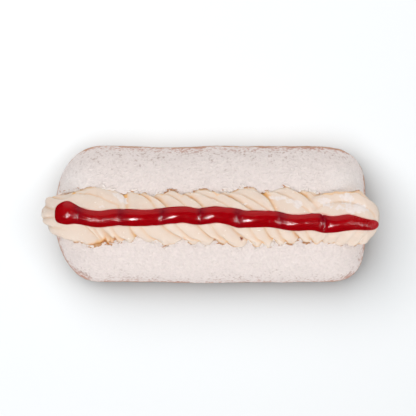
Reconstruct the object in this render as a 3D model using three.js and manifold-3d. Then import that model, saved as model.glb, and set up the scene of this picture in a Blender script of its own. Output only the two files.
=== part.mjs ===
// Cream finger bun: an oblong soft bun, split open along its top, filled with a twisted rope of
// piped cream that runs out past both ends, with a line of red jam along the crest of the rope.
// Millimetres. +X runs along the bun, +Z is up, and the bun stands on z = 0.

import * as THREE from "three";
import { mergeVertices } from "three/addons/utils/BufferGeometryUtils.js";
import Module from "manifold-3d";

const wasm = await Module();
wasm.setup();

// The bun
const BUN_LENGTH = 162;
const BUN_WIDTH = 71.5;
const BUN_HEIGHT = 44;
const BUN_WAIST = 13; // height of the widest line round the bun
const BUN_END_LEFT = 24.6; // length of the rounding of the left end, seen from above
const BUN_END_LEFT_POWER = 2.2; // and how square it is
const BUN_END_RIGHT = 35; // the right end is blunter,
const BUN_END_RIGHT_POWER = 4;
const BUN_END_RIGHT_SKEW = 5; // and its rounding is longer on the upper side than on the lower
const BUN_CROWN_END = 36; // length over which the crown comes down at each end
const BUN_CROWN_END_POWER = 2.8;
const BUN_CROWN_POWER = 2.5; // how square the crown is across the bun
const BUN_FOOT_POWER = 3; // how square the foot is below the waist
const BUN_FOOT_DEPTH = 15; // the foot is drawn this far below the waist, then cut flat
const BUN_HOLLOW = 0.9; // a slow hollow in the upper side
const BUN_HOLLOW_X = -21;
const BUN_HOLLOW_LENGTH = 17;
const BUN_BELLY = 0.5; // a slow belly in the lower side
const BUN_BELLY_X = -4;
const BUN_BELLY_LENGTH = 26;

// The split along the top of the bun
const SPLIT_CENTRE_Y = -0.5;
const SPLIT_FLOOR_HEIGHT = 15.5;
const SPLIT_FLOOR_WIDTH = 7;
const SPLIT_LIP_WIDTH = 23.6;
const SPLIT_LIP_HEIGHT = 42;
const SPLIT_END_RISE = 9; // the split is shallower by this much at both ends of the bun
const SPLIT_END_START = 56;
const SPLIT_END_FULL = 78;
const LIP_FOLLOW = 0.8; // share of the rope's change of width that the lips follow

// The piped cream
const CREAM_LENGTH = 176;
const CREAM_CENTRE_Y = -0.8;
const CREAM_AXIS_HEIGHT = 41; // the rope's axis, about level with the lips of the split
const CREAM_END_DROP = 5; // the rope sinks by this much towards its ends
const CREAM_GROOVE_HALF_WIDTH = 12.8; // half the rope's width in the grooves between its strands
const CREAM_GROOVE_RISE = 8; // height of the grooves over the axis
const CREAM_STRAND_OUT = 3.8; // how far a strand stands out of the grooves at the sides
const CREAM_STRAND_UP = 1.5; // and at the top
const CREAM_SECTION_POWER = 1.55; // the rope's section over the axis, between a roof and an ellipse
const CREAM_FILL_HALF_WIDTH = 14; // the filling below the axis, before the bun squeezes it
const CREAM_FILL_DEPTH = 26;
const CREAM_CAP_LEFT = 14; // lengths of the rope's rounded ends
const CREAM_CAP_RIGHT = 10;
const CREAM_END_TUCK = 8; // how far the filling stays back from the rope's ends
const CREAM_TWIST = 30; // a strand runs about this far along the rope as it crosses it

// The strands: where their edges and the fold along each strand meet the jam and the bun's lips, along X
const UPPER_EDGE_AT_JAM = [-110, -43.8, -22.6, -3.9, 19, 32.8, 55, 76, 110];
const UPPER_EDGE_AT_LIP = [-110, -45.1, -31.7, -15.3, 3.4, 27.2, 45.1, 62, 110];
const UPPER_FOLD_AT_JAM = [-46.5, -29, -12.8, 9, 27, 47.5, 66, 90];
const UPPER_FOLD_AT_LIP = [-71, -37, -25.3, -9.8, 9.5, 31, 50, 90];
const LOWER_EDGE_AT_JAM = [-110, -65.8, -57.5, -42.6, -25.6, -7.3, 9.6, 27.2, 41, 58, 110];
const LOWER_EDGE_AT_LIP = [-110, -54.5, -50, -38.8, -14.1, 2.3, 19.5, 32.6, 46, 60, 110];
const LOWER_FOLD_AT_JAM = [-88, -61.5, -52, -36.5, -17.5, 0.5, 19.5, 34, 49, 90];
const LOWER_FOLD_AT_LIP = [-88, -52.3, -45, -28.5, -6, 8.5, 27, 39, 52.5, 90];
const RUN_START = 0.35; // share of the rope's half width that the jam covers
const RUN_LENGTH = 0.5; // share of it from the jam to the lip
const STRAND_SHARE = 0.54; // share of a strand's height that is one broad arch; the rest is its two domes
const STRAND_SKEW = 1.4; // the arch leans to the right, where a strand hangs over the next
const FOLD_SKEW = 1.25; // and so do the domes
const ARCH_POWER = 0.6; // how full the arch is,
const DOME_POWER = 0.75; // and the domes

// How much further, or less far, than its plain width the rope reaches over the lips, for x along it
const REACH_X = [-88, -84, -77, -68, -60, -50, -40, -20, 0, 20, 40, 52, 70, 77, 82, 88];
const REACH_UPPER = [
  3.5, 0.8, -3.8, -2, -0.4, -0.6, -3, -2.7,
  -1.4, -0.8, -0.6, -0.8, -0.6, -0.8, -3.8, -5.5,
];
const REACH_LOWER = [
  -6.5, -3.8, -2.8, -2.5, 1, -0.8, -1.9, -0.8,
  -0.6, 0.2, -0.8, -1.2, -0.7, -0.8, -1.5, -1.8,
];

// The left end of the rope: a nose of lobes side by side
const NOSE_START = -70;
const NOSE_FULL = -84;
const NOSE_LOBE_WIDTH = 6.5;
const NOSE_LOBE_MIDDLE = 0.95;
const NOSE_SWELL = 0.45; // how much lower than the strands its lobes are
const NOSE_NOTCH = 1.3; // how far the grooves cut into its front

// The right end of the rope: a loop round an oval lobe, and low ridges aslant below the jam
const LOOP_START = 49;
const LOOP_FULL = 58;
const LOOP_CENTRE_X = 68.5;
const LOOP_CENTRE_Y = -1.5;
const LOOP_HALF_LENGTH = 17;
const LOOP_HALF_WIDTH = 9.8;
const LOOP_RING = 0.5; // width of the ring round the lobe, next to the lobe's own
const LOOP_SHOULDER = 0.85; // height of the strand outside the ring, next to the ring's own
const LOOP_SWELL = 0.85;
const FAN_FIRST = 79;
const FAN_STEP = 6.5;
const FAN_SWELL = 0.45;
const END_NOTCH = 1.6; // depth of the grooves between the lobes of the right end, under the loop
const END_START = 77;
const END_FULL = 85;

// The line of jam
const JAM_START_X = -81;
const JAM_END_X = 87.6;
const JAM_LINE_X = [-81, -77, -73, -68, -63, -57, -50, -32, -14, 4, 18, 31, 46, 60, 74, 88];
const JAM_LINE_Y = [
  0.1, 0.8, 0.8, -0.5, -1.7, -2.2, -2, -1.1, -0.6, -0.6, -1.8, -2.7, -3.8, -4.5, -4.4, -5.2,
];
const JAM_PULSE_EDGES = [-92, -69, -47.2, -25.3, -5.5, 13.8, 36.2, 58.1, 96]; // squeezes of the bag
const JAM_HALF_WIDTH = 4.45;
const JAM_STOPS = [13.8, 58.1]; // where the bag was stopped, and the jam is wider
const JAM_STOP_BULGE = 0.65;
const JAM_STOP_LENGTH = 3.5;
const JAM_SWAY = 0.45; // how far the line sways to the side,
const JAM_SWAY_CRESTS = [-75.3, -50.3, -14.9, 3.9, 31, 53.9, 72.7, 93.6]; // and where it does
const JAM_SWAY_START = -66; // it starts to sway here,
const JAM_SWAY_FULL = -50; // and does so in full from here
const JAM_BLOB = 1.7; // extra half width of the blob at the start
const JAM_BLOB_X = -74.5;
const JAM_BLOB_LENGTH = 4.5;
const JAM_BLOB_RISE = 1.4; // how much thicker the blob is
const JAM_START_LENGTH = 4; // lengths of its rounded ends
const JAM_END_LENGTH = 3;
const JAM_TIP_LENGTH = 16; // the far end tapers over this length
const JAM_THICKNESS = 2.4;
const JAM_PULSE_RISE = 2.2; // how much thicker each squeeze makes it
const JAM_PULSE_SKEW = 0.65; // each pulse is thickest soon after its start
const JAM_SINK = 2.2; // the jam is drawn this far into the cream, then cut to lie on it
const JAM_CROWN_FLAT = 2.6; // how flat the jam's crown is across
const JAM_CROWN_POWER = 0.75;

const CREAM_HALF = CREAM_LENGTH / 2;
const CLEARANCE = 0.3; // between one piece and the next
const WELD = 1e-4;

// Rows of facets
const BUN_FACETS = { around: 40, along: 38 };
const SPLIT_FACETS = 18;
const CREAM_FACETS = { around: 34, along: 112 };
const JAM_FACETS = { around: 12, along: 66 };

const clamp01 = (u) => Math.min(1, Math.max(0, u));
const smoothStep = (low, high, u) => {
  const f = clamp01((u - low) / (high - low));
  return f * f * (3 - 2 * f);
};
const mix = (a, b, share) => a + (b - a) * share;
const bell = (x, middle, length) => Math.exp(-(((x - middle) / length) ** 2));
const signedPower = (u, power) => Math.sign(u) * Math.abs(u) ** power;

// Height of the superellipse |u|^n + |v|^n = 1 over u.
const superArc = (u, n) => (1 - clamp01(Math.abs(u)) ** n) ** (1 / n);

// Height of a quarter-round end of the given length, at a distance from the tip.
const roundEnd = (distance, length) => Math.sqrt(1 - (1 - clamp01(distance / length)) ** 2);

// Slope of a line of knots at one of them: the mean of the slopes on both sides, the nearer side
// counting for more.
function knotSlope(knotsX, knotsY, i) {
  const last = knotsX.length - 1;
  const slopeAfter = (k) => (knotsY[k + 1] - knotsY[k]) / (knotsX[k + 1] - knotsX[k]);
  if (i === 0) return slopeAfter(0);
  if (i === last) return slopeAfter(last - 1);
  const before = knotsX[i] - knotsX[i - 1];
  const after = knotsX[i + 1] - knotsX[i];
  return (slopeAfter(i - 1) * after + slopeAfter(i) * before) / (before + after);
}

// Smooth cubic line through the knots.
function smoothLine(knotsX, knotsY, x) {
  let i = 0;
  while (i < knotsX.length - 2 && x > knotsX[i + 1]) i++;
  const span = knotsX[i + 1] - knotsX[i];
  const f = clamp01((x - knotsX[i]) / span);
  const slope = knotSlope(knotsX, knotsY, i) * (1 - f) - knotSlope(knotsX, knotsY, i + 1) * f;
  return (
    knotsY[i] * (1 + 2 * f) * (1 - f) ** 2 +
    knotsY[i + 1] * f * f * (3 - 2 * f) +
    span * f * (1 - f) * slope
  );
}

// A closed surface made from a sphere whose poles lie on the X axis: place(t, turn) gives the point
// for t from -1 to 1 along the axis and turn round it, from +Y at 0 over +Z at a quarter turn.
function stretchedSphere({ around, along }, place) {
  const geometry = new THREE.SphereGeometry(1, around, along);
  const position = geometry.getAttribute("position");
  const uv = geometry.getAttribute("uv");
  for (let i = 0; i < position.count; i++) {
    const turn = 2 * Math.PI * uv.getX(i) - Math.PI / 2;
    position.setXYZ(i, ...place(2 * uv.getY(i) - 1, turn));
  }
  return geometry;
}

// A closed three.js geometry as a solid that can be joined and cut.
function solidOf(geometry) {
  const bare = new THREE.BufferGeometry();
  bare.setAttribute("position", geometry.getAttribute("position"));
  bare.setIndex(geometry.index);
  const merged = mergeVertices(bare, WELD);
  return new wasm.Manifold(
    new wasm.Mesh({
      numProp: 3,
      vertProperties: merged.getAttribute("position").array,
      triVerts: new Uint32Array(merged.index.array),
    }),
  );
}

// A solid as a named mesh with its own material.
function meshOf(name, solid, material) {
  const { vertProperties, triVerts } = solid.getMesh();
  const geometry = new THREE.BufferGeometry();
  geometry.setAttribute("position", new THREE.BufferAttribute(vertProperties, 3));
  geometry.setIndex(new THREE.BufferAttribute(triVerts, 1));
  geometry.computeVertexNormals();
  const mesh = new THREE.Mesh(geometry, new THREE.MeshStandardMaterial(material));
  mesh.name = name;
  return mesh;
}

// 1 along the middle of the bun, closing to 0 at each tip in a superelliptic arc of a given length.
function endArc(x, left, leftPower, right, rightPower) {
  const half = BUN_LENGTH / 2;
  const intoLeft = Math.max(0, left - half - x) / left;
  const intoRight = Math.max(0, right - half + x) / right;
  return superArc(intoLeft, leftPower) * superArc(intoRight, rightPower);
}

// Half the bun's width on one side (+1 or -1).
function bunHalfWidth(x, side) {
  const hollow = BUN_HOLLOW * bell(x, BUN_HOLLOW_X, BUN_HOLLOW_LENGTH);
  const flat = BUN_BELLY * (1 - bell(x, BUN_BELLY_X, BUN_BELLY_LENGTH));
  const right = BUN_END_RIGHT + BUN_END_RIGHT_SKEW * side;
  const edge = BUN_WIDTH / 2 - (side > 0 ? hollow : flat);
  return edge * endArc(x, BUN_END_LEFT, BUN_END_LEFT_POWER, right, BUN_END_RIGHT_POWER);
}

// The whole bun before it is split, grown by a skin: superellipse sections along X.
function bunBody(skin) {
  const half = BUN_LENGTH / 2;
  const geometry = stretchedSphere(BUN_FACETS, (t, turn) => {
    const x = half * (1.5 * t - 0.5 * t ** 3);
    const up = Math.sin(turn) >= 0;
    const power = up ? BUN_CROWN_POWER : BUN_FOOT_POWER;
    const rise = up ? BUN_HEIGHT - BUN_WAIST + skin : BUN_FOOT_DEPTH;
    const crown = endArc(x, BUN_CROWN_END, BUN_CROWN_END_POWER, BUN_CROWN_END, BUN_CROWN_END_POWER);
    const width = bunHalfWidth(x, Math.sign(Math.cos(turn))) + skin * superArc(t, 2);
    return [
      x * (1 + skin / half),
      width * signedPower(Math.cos(turn), 2 / power),
      BUN_WAIST + rise * crown * signedPower(Math.sin(turn), 2 / power),
    ];
  });
  return solidOf(geometry);
}

// How much further or less far than its plain width the rope reaches on one side (above 0 or below).
const ropeReach = (x, side) => smoothLine(REACH_X, side > 0 ? REACH_UPPER : REACH_LOWER, x);

// How wide the split stands open on one side, next to its plain width.
const lipSpread = (x, side) => 1 + (LIP_FOLLOW * ropeReach(x, side)) / (SPLIT_LIP_WIDTH / 2);

// How far the split's wall is squeezed upwards towards the bun's ends: most at the floor, not at the lips.
function splitRise(x, z) {
  const belowLip = clamp01((SPLIT_LIP_HEIGHT - z) / (SPLIT_LIP_HEIGHT - SPLIT_FLOOR_HEIGHT));
  return SPLIT_END_RISE * smoothStep(SPLIT_END_START, SPLIT_END_FULL, Math.abs(x)) * belowLip;
}

// The wedge that the split takes out of the bun, with a rounded floor that rises towards the ends, and
// lips that curl outwards and close on the rope where it is narrower.
function splitWedge(skin) {
  const floorHalf = SPLIT_FLOOR_WIDTH / 2 - skin;
  const lipHalf = SPLIT_LIP_WIDTH / 2 - skin;
  const floor = SPLIT_FLOOR_HEIGHT + skin;
  const top = 2 * SPLIT_LIP_HEIGHT;
  const bellyHalf = floorHalf + 0.4 * (lipHalf - floorHalf);
  const bellyHeight = floor + 0.55 * (SPLIT_LIP_HEIGHT - floor);
  const wedge = new THREE.Shape();
  wedge.moveTo(0, floor);
  wedge.quadraticCurveTo(floorHalf, floor, bellyHalf, bellyHeight);
  wedge.quadraticCurveTo(lipHalf - 1, SPLIT_LIP_HEIGHT - 4, lipHalf, SPLIT_LIP_HEIGHT);
  wedge.lineTo(lipHalf + 6, top);
  wedge.lineTo(-lipHalf - 6, top);
  wedge.lineTo(-lipHalf, SPLIT_LIP_HEIGHT);
  wedge.quadraticCurveTo(1 - lipHalf, SPLIT_LIP_HEIGHT - 4, -bellyHalf, bellyHeight);
  wedge.quadraticCurveTo(-floorHalf, floor, 0, floor);
  const depth = BUN_LENGTH + 8;
  const geometry = new THREE.ExtrudeGeometry(wedge, {
    depth,
    steps: SPLIT_FACETS,
    curveSegments: 4,
    bevelEnabled: false,
  });
  geometry.translate(0, 0, -depth / 2);
  const alongBun = new THREE.Matrix4().makeBasis(
    new THREE.Vector3(0, 1, 0),
    new THREE.Vector3(0, 0, 1),
    new THREE.Vector3(1, 0, 0),
  );
  geometry.applyMatrix4(alongBun);
  const position = geometry.getAttribute("position");
  for (let i = 0; i < position.count; i++) {
    const [x, across, z] = [position.getX(i), position.getY(i), position.getZ(i)];
    position.setXYZ(i, x, SPLIT_CENTRE_Y + across * lipSpread(x, across), z + splitRise(x, z));
  }
  return solidOf(geometry);
}

// What lies below the flat foot of the bun.
function belowFoot() {
  const box = new THREE.BoxGeometry(2 * BUN_LENGTH, 2 * BUN_WIDTH, BUN_HEIGHT);
  box.translate(0, 0, -BUN_HEIGHT / 2);
  return solidOf(box);
}

const bunSolid = (skin) => bunBody(skin).subtract(splitWedge(skin)).subtract(belowFoot());

// How far along the rope a strand has run from where it tops the crest: a helix, so the run grows with
// the angle, and back again under the rope.
const strandLay = (turn) => (-CREAM_TWIST / Math.PI) * Math.asin(0.98 * Math.cos(turn));

// Share of a strand's run from the jam's edge to the lip, for a place across the rope: the angle of a
// helix, carried on straight under the jam.
function strandRun(across) {
  const out = (Math.abs(across) ** (2 / CREAM_SECTION_POWER) - RUN_START) / RUN_LENGTH;
  return (2 / Math.PI) * (out > 0 ? Math.asin(clamp01(out)) : out);
}

// Height of the strands on one side of the rope, 0 to 1. A strand lies between two edges, with a fold
// between them: a broad arch over the whole, and a dome on either side of the fold.
function strandSide(x, run, edgeJam, edgeLip, foldJam, foldLip) {
  for (let k = 0; k < foldJam.length; k++) {
    const start = mix(edgeJam[k], edgeLip[k], run);
    const end = mix(edgeJam[k + 1], edgeLip[k + 1], run);
    if (x < start || x >= end) continue;
    const u = (x - start) / (end - start);
    const foldAt = (mix(foldJam[k], foldLip[k], run) - start) / (end - start);
    const fold = Math.min(0.94, Math.max(0.06, foldAt));
    const dome = u < fold ? u / fold : (u - fold) / (1 - fold);
    const arch = Math.sin(Math.PI * u ** STRAND_SKEW) ** ARCH_POWER;
    return mix(Math.sin(Math.PI * dome ** FOLD_SKEW) ** DOME_POWER, arch, STRAND_SHARE);
  }
  return 0;
}

// Height of the strands, 0 to 1: those of the upper side and those of the lower side, passing into each
// other under the jam.
function strandSwell(x, across) {
  const run = strandRun(across);
  const upper = strandSide(
    x, run, UPPER_EDGE_AT_JAM, UPPER_EDGE_AT_LIP, UPPER_FOLD_AT_JAM, UPPER_FOLD_AT_LIP,
  );
  const lower = strandSide(
    x, run, LOWER_EDGE_AT_JAM, LOWER_EDGE_AT_LIP, LOWER_FOLD_AT_JAM, LOWER_FOLD_AT_LIP,
  );
  return mix(lower, upper, smoothStep(-0.15, 0.15, across));
}

// Height of the left nose, 0 to 1: even lobes side by side across it.
const noseSwell = (y) => Math.abs(Math.cos((Math.PI * (y - NOSE_LOBE_MIDDLE)) / NOSE_LOBE_WIDTH));

// Height of the right end, 0 to 1: above the jam an oval lobe in a ring with a shoulder outside it, below
// the jam low ridges aslant.
function loopSwell(x, y) {
  const oval = Math.hypot((x - LOOP_CENTRE_X) / LOOP_HALF_LENGTH, (y - LOOP_CENTRE_Y) / LOOP_HALF_WIDTH);
  const shoulder = LOOP_SHOULDER * smoothStep(1 + LOOP_RING, 1.25 + LOOP_RING, oval);
  const ring = Math.max(Math.sin(Math.PI * clamp01((oval - 1) / LOOP_RING)) ** 0.6, shoulder);
  const lobe = (1 - clamp01(oval) ** 3) ** 0.6;
  const ridge = Math.abs(Math.sin((Math.PI * (x - y - FAN_FIRST)) / FAN_STEP)) ** 0.6;
  const fan = mix(1, ridge, FAN_SWELL);
  return mix(oval > 1 ? ring : lobe, fan, smoothStep(-2, -5, y));
}

const creamAxis = (x) => CREAM_AXIS_HEIGHT - CREAM_END_DROP * Math.abs(x / CREAM_HALF) ** 4;
const creamCap = (x) => roundEnd(CREAM_HALF - Math.abs(x), x < 0 ? CREAM_CAP_LEFT : CREAM_CAP_RIGHT);

// Height of the rope's surface between its grooves, 0 to 1: the strands, giving way to the nose at the
// left end and to the loop at the right; and how much of it the shape takes up.
function ropeSwell(x, turn) {
  const y = CREAM_CENTRE_Y + (CREAM_GROOVE_HALF_WIDTH + 1.5) * Math.cos(turn) * creamCap(x);
  const nose = smoothStep(NOSE_START, NOSE_FULL, x);
  const loop = smoothStep(LOOP_START, LOOP_FULL, x);
  const strands = strandSwell(x, Math.cos(turn));
  const height = mix(mix(strands, noseSwell(y), nose), loopSwell(x, y), loop);
  return { height, share: 1 + (NOSE_SWELL - 1) * nose + (LOOP_SWELL - 1) * loop };
}

// The point of the rope at a distance s along it from its middle and a turn round its axis. Rows of
// constant s follow the strands along the middle of the rope, and are upright rings at its ends.
function creamPoint(s, turn) {
  const across = Math.cos(turn);
  const up = Math.sin(turn);
  const below = clamp01(-up);
  const cap = creamCap(s);
  const follow = 1 - smoothStep(0.35, 0.7, Math.abs(s) / CREAM_HALF);
  const x = s + follow * strandLay(turn);
  const { height, share } = ropeSwell(x, turn);
  const swell = height * share;
  const reach = ropeReach(x, across) * across ** 2;
  const strandHalf = CREAM_GROOVE_HALF_WIDTH + CREAM_STRAND_OUT * swell + reach;
  const fillHalf = CREAM_FILL_HALF_WIDTH + Math.min(reach, 0);
  const halfWidth = mix(strandHalf, fillHalf, smoothStep(0, 0.3, below));
  const rise = up > 0 ? CREAM_GROOVE_RISE + CREAM_STRAND_UP * swell : CREAM_FILL_DEPTH;
  const tuck = CREAM_END_TUCK * below * cap * (s / CREAM_HALF) ** 9;
  const front = smoothStep(0, 0.25, cap) * smoothStep(NOSE_FULL + 3, NOSE_FULL - 2, s);
  const notch = NOSE_NOTCH * (1 - height) * front;
  const endLobes = noseSwell(CREAM_CENTRE_Y + CREAM_GROOVE_HALF_WIDTH * across * cap);
  const endShare = smoothStep(0, 0.4, below) * smoothStep(END_START, END_FULL, s);
  const endNotch = END_NOTCH * (1 - endLobes) * endShare * cap;
  const bow = up > 0 ? 2 / CREAM_SECTION_POWER : 1;
  return [
    x - tuck + notch - endNotch,
    CREAM_CENTRE_Y + halfWidth * signedPower(across, bow) * cap,
    creamAxis(s) + rise * signedPower(up, bow) * cap,
  ];
}

function creamBody() {
  const spaced = (t) => CREAM_HALF * t * (1.1 - 0.1 * t ** 8);
  const gathered = (turn) => turn - 0.28 * Math.cos(turn); // more facets over the top than under it
  const point = (t, turn) => creamPoint(spaced(t), gathered(turn));
  return solidOf(stretchedSphere(CREAM_FACETS, point));
}

// Which step of a rising line of edges x is in, and how far through it, as one number.
function stepCount(edges, x) {
  let k = 0;
  while (k < edges.length - 2 && x > edges[k + 1]) k++;
  return k + clamp01((x - edges[k]) / (edges[k + 1] - edges[k]));
}

// The jam's rise, 0 to 1, in the pulse between two squeezes of the bag: quick after each edge, then a long
// fall, with the hollow between two pulses rounded.
function jamPulse(x) {
  const arch = Math.sin(Math.PI * (stepCount(JAM_PULSE_EDGES, x) % 1) ** JAM_PULSE_SKEW);
  return Math.sqrt(arch ** 2 + 0.04) - 0.2;
}

const jamEnds = (x) =>
  superArc(1 - clamp01((x - JAM_START_X) / JAM_START_LENGTH), 3) * roundEnd(JAM_END_X - x, JAM_END_LENGTH);

// Where the jam lies across the cream: a slow line with a sway, a cosine wave from crest to crest.
function jamCentre(x) {
  const wave = Math.cos(2 * Math.PI * stepCount(JAM_SWAY_CRESTS, x));
  const sway = JAM_SWAY * wave * smoothStep(JAM_SWAY_START, JAM_SWAY_FULL, x);
  return smoothLine(JAM_LINE_X, JAM_LINE_Y, x) + sway * jamEnds(x);
}

// Height of the rope's crest under the jam, at the bottom of its grooves.
const creamCrest = (x) => creamAxis(x) + CREAM_GROOVE_RISE * creamCap(x);

// The jam: a low arch carried along its line over the crest, swelling with each squeeze, with a blob at
// its start and a drooping tip.
function jamBody() {
  const middle = (JAM_START_X + JAM_END_X) / 2;
  const half = (JAM_END_X - JAM_START_X) / 2;
  const geometry = stretchedSphere(JAM_FACETS, (t, turn) => {
    const x = middle + half * t * (1.1 - 0.1 * t ** 8);
    const blob = bell(x, JAM_BLOB_X, JAM_BLOB_LENGTH);
    const stops = JAM_STOPS.reduce((sum, stop) => sum + JAM_STOP_BULGE * bell(x, stop, JAM_STOP_LENGTH), 0);
    const taper = 0.5 + 0.5 * clamp01((JAM_END_X - x) / JAM_TIP_LENGTH);
    const width = (JAM_HALF_WIDTH + stops + JAM_BLOB * blob) * taper * jamEnds(x);
    const thickness = JAM_THICKNESS + JAM_PULSE_RISE * jamPulse(x) + JAM_BLOB_RISE * blob;
    const top = thickness * taper * jamEnds(x);
    const across = Math.cos(turn);
    const up = Math.sin(turn);
    const crown = top * (1 - Math.abs(across) ** JAM_CROWN_FLAT) ** JAM_CROWN_POWER;
    const rise = up > 0 ? crown : JAM_SINK * jamEnds(x) * up;
    return [x, jamCentre(x) + width * across, creamCrest(x) + rise];
  });
  return solidOf(geometry);
}

const bun = bunSolid(0);
const cream = creamBody().subtract(bunSolid(CLEARANCE));
const jam = jamBody().subtract(cream.translate([0, 0, CLEARANCE]));

const fingerBun = new THREE.Group();
fingerBun.add(
  meshOf("bun", bun, { color: 0xe9dcd7, roughness: 0.95, metalness: 0 }),
  meshOf("cream", cream, { color: 0xead6c3, roughness: 0.5, metalness: 0 }),
  meshOf("jam", jam, { color: 0x9c0a14, roughness: 0.12, metalness: 0 }),
);

export default fingerBun;
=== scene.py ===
"""Cream finger bun: a sugared soft bun, split along its top, with a piped rope of cream and a line of jam."""
import math

import bpy
import numpy as np
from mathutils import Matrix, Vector


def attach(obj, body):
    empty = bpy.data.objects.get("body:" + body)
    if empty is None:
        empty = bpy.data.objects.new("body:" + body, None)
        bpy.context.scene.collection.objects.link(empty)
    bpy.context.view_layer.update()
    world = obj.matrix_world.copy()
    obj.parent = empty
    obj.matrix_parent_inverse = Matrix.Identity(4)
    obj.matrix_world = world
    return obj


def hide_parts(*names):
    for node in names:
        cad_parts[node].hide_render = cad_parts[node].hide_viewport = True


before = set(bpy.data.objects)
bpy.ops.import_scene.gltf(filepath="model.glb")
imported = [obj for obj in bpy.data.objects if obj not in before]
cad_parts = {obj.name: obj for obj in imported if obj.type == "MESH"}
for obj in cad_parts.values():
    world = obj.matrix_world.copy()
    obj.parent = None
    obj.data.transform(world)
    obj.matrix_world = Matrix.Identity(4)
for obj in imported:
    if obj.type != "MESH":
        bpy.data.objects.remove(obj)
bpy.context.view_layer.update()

MM = 0.001

# Sizes of the bun in millimetres
BUN_LENGTH, BUN_WIDTH, BUN_HEIGHT, BUN_WAIST = 162.0, 71.5, 44.0, 13.0
BUN_END_LEFT, BUN_END_LEFT_POWER = 24.6, 2.2
BUN_END_RIGHT, BUN_END_RIGHT_SKEW, BUN_END_RIGHT_POWER = 35.0, 5.0, 4.0
BUN_CROWN_END, BUN_CROWN_END_POWER = 36.0, 2.8
BUN_CROWN_POWER, BUN_FOOT_POWER = 2.5, 3.0
BUN_FOOT_DEPTH = 15.0
BUN_HOLLOW, BUN_HOLLOW_X, BUN_HOLLOW_LENGTH = 0.9, -21.0, 17.0
BUN_BELLY, BUN_BELLY_X, BUN_BELLY_LENGTH = 0.5, -4.0, 26.0
BUN_ROWS, BUN_COLUMNS = 326, 300
BUN_SHARE_UNDER, BUN_SHARE_SPLIT, BUN_SHARE_CROWN = 0.45, 0.5, 1.15

SPLIT_CENTRE_Y = -0.5
SPLIT_FLOOR_HEIGHT, SPLIT_FLOOR_WIDTH = 15.5, 7.0
SPLIT_LIP_HEIGHT, SPLIT_LIP_WIDTH = 42.0, 23.6
SPLIT_END_RISE, SPLIT_END_X = 9.0, (56.0, 78.0)
LIP_ROUNDING, LIP_FOLLOW = 2.2, 0.8
LIP_LINE, LIP_LINE_SOLID, LIP_LINE_END = 0.8, (50.0, 60.0), (80.0, 78.0)
UPPER_SIDE = 30.0  # height over which the split and the rope are seen from above

# Uneven surfaces: height, size and seed of each layer of noise
LIP_RAGGED = ((0.5, 5.0, 11), (0.25, 1.7, 12))
CRUST_UNEVEN = ((0.2, 1.7, 21), (0.16, 4.5, 31), (0.35, 17.0, 41))
ROPE_UNEVEN = ((0.4, 6.0, 63), (0.4, 2.2, 64))
SIDES_APART, CRUMB_SIDES_APART = 40.0, 30.0  # so that the noise along one lip isn't that of the other

# Icing sugar: how it fell, where it has worn off, partly painted shade on the back slope, and painted light
# by the lips
SUGAR_LEAN = 0.06
WEAR_EVEN, WEAR_BACK, WEAR_FRONT, WEAR_PATCHY, WEAR_EDGE, WEAR_CORNER = 0.08, 0.255, 0.22, 0.05, 0.08, 0.2
DRIFT, DRIFT_ALONG, DRIFT_INNER, DRIFT_OUTER = 0.45, (55.0, 72.0), (6.0, 10.0), (30.0, 14.0)

# Sizes of the cream
CREAM_LENGTH = 176.0
CREAM_HALF = CREAM_LENGTH / 2
CREAM_CENTRE_Y = -0.8
CREAM_AXIS_HEIGHT, CREAM_END_DROP = 41.0, 5.0
CREAM_GROOVE_HALF_WIDTH, CREAM_GROOVE_RISE = 12.8, 8.0
CREAM_STRAND_OUT, CREAM_STRAND_UP = 3.8, 1.5
CREAM_SECTION_POWER = 1.55
CREAM_FILL_HALF_WIDTH, CREAM_FILL_DEPTH = 14.0, 26.0
CREAM_CAP_LEFT, CREAM_CAP_RIGHT = 14.0, 10.0
CREAM_END_TUCK = 8.0
CREAM_ROWS, CREAM_COLUMNS_OVER, CREAM_COLUMNS_UNDER, CREAM_OVERLAP = 522, 104, 26, 0.35
UPPER_STRANDS = (  # edges at the jam and at the lip, then folds at the jam and at the lip
    (-110.0, -43.8, -22.6, -3.9, 19.0, 32.8, 55.0, 76.0, 110.0),
    (-110.0, -45.1, -31.7, -15.3, 3.4, 27.2, 45.1, 62.0, 110.0),
    (-46.5, -29.0, -12.8, 9.0, 27.0, 47.5, 66.0, 90.0),
    (-71.0, -37.0, -25.3, -9.8, 9.5, 31.0, 50.0, 90.0),
)
LOWER_STRANDS = (
    (-110.0, -65.8, -57.5, -42.6, -25.6, -7.3, 9.6, 27.2, 41.0, 58.0, 110.0),
    (-110.0, -54.5, -50.0, -38.8, -14.1, 2.3, 19.5, 32.6, 46.0, 60.0, 110.0),
    (-88.0, -61.5, -52.0, -36.5, -17.5, 0.5, 19.5, 34.0, 49.0, 90.0),
    (-88.0, -52.3, -45.0, -28.5, -6.0, 8.5, 27.0, 39.0, 52.5, 90.0),
)
CREAM_TWIST = 30.0
RUN_START, RUN_LENGTH = 0.35, 0.5
STRAND_SHARE, STRAND_SKEW, FOLD_SKEW = 0.54, 1.4, 1.25
ARCH_POWER, DOME_POWER, LOBE_POWER = 0.6, 0.75, 0.6
# Widths and shares of the painted shade in the grooves, folds and lobes
GROOVE_AFTER_EDGE, GROOVE_BEFORE_EDGE, GROOVE_FOLD, FOLD_TONE, LOBE_TONE = 1.5, 0.6, 1.0, 0.6, 0.3
DUST_PATCHES = (  # x, y, half length, half width and amount
    (-46.5, 8.0, 3.2, 4.2, 0.75), (-57.0, 4.2, 4.0, 1.6, 0.6), (20.0, 5.5, 6.0, 1.6, 0.5),
    (34.0, 8.5, 6.5, 1.8, 0.7), (44.0, 6.0, 6.0, 2.6, 0.75), (60.0, 6.6, 5.0, 3.2, 0.7),
    (70.0, 9.0, 6.0, 3.0, 0.75), (74.0, 3.2, 8.0, 3.2, 0.85),
)
PIT_X, PIT_LENGTH, PIT_WIDTH = -56.5, 9.0, 3.2
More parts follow.
